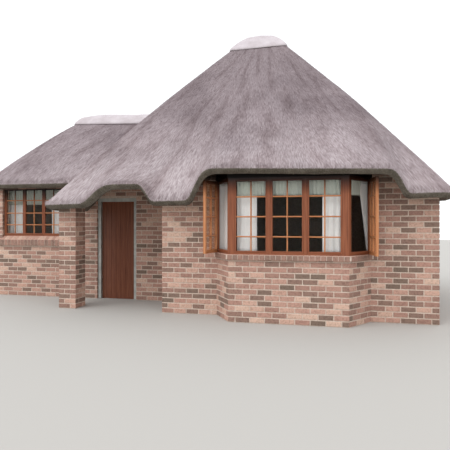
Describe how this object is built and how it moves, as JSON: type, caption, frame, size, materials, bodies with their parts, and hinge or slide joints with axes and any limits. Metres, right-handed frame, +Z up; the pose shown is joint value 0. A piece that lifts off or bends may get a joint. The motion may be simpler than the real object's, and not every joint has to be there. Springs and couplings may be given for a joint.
{
  "type": "thatched cottage",
  "caption": "Thatched brick cottage: hipped main roof with an eyebrow over a canted bay window, a porch under one corner, and a lower wing behind.",
  "frame": {"origin": "centre of the bounding box in plan, on the ground", "axes": "+X to the right along the front wall, +Y into the building, +Z up"},
  "size_m": [9.72, 6.91, 5.8758],
  "materials": {
    "thatch": "combed thatching reed, weathered to a pinkish grey",
    "ridge_mortar": "smooth pale mortar capping with lichen stains",
    "face_brick": "pinkish-brown face brick with thick pale mortar joints",
    "varnished_timber": "reddish-orange varnished hardwood, satin",
    "painted_steel": "pressed steel with pale grey paint",
    "window_glass": "clear float glass",
    "curtain_cloth": "cream woven cloth, matt",
    "concrete": "floated concrete"
  },
  "bodies": {
    "root": {"main_thatch": "thatch", "wing_thatch": "thatch", "main_ridge_cap": "ridge_mortar", "wing_ridge_cap": "ridge_mortar", "front_wall_left": "face_brick", "front_wall_right": "face_brick", "front_wall_over_bay": "face_brick", "right_wall": "face_brick", "back_wall": "face_brick", "porch_side_wall": "face_brick", "rear_porch_side_wall": "face_brick", "wing_front_wall": "face_brick", "wing_wall_over_door": "face_brick", "wing_wall_beside_door": "face_brick", "wing_back_wall": "face_brick", "wing_left_wall": "face_brick", "porch_pillar": "face_brick", "rear_porch_pillar": "face_brick", "floor_slab": "concrete", "wing_window_frame": "varnished_timber", "wing_window_glass": "window_glass", "wing_window_sill": "face_brick", "wing_back_window_frame": "varnished_timber", "wing_back_window_glass": "window_glass", "wing_back_window_sill": "face_brick", "side_window_frame": "varnished_timber", "side_window_glass": "window_glass", "side_window_sill": "face_brick", "bay_base_left": "face_brick", "bay_base_front": "face_brick", "bay_base_right": "face_brick", "bay_sill": "face_brick", "bay_frame": "varnished_timber", "bay_front_glass": "window_glass", "bay_left_leaf": "varnished_timber", "bay_left_leaf_glass": "window_glass", "bay_right_leaf": "varnished_timber", "bay_right_leaf_glass": "window_glass", "door_frame": "painted_steel", "door_leaf": "varnished_timber", "bay_curtains": "curtain_cloth", "wing_curtains": "curtain_cloth"}
  },
  "joints": []
}
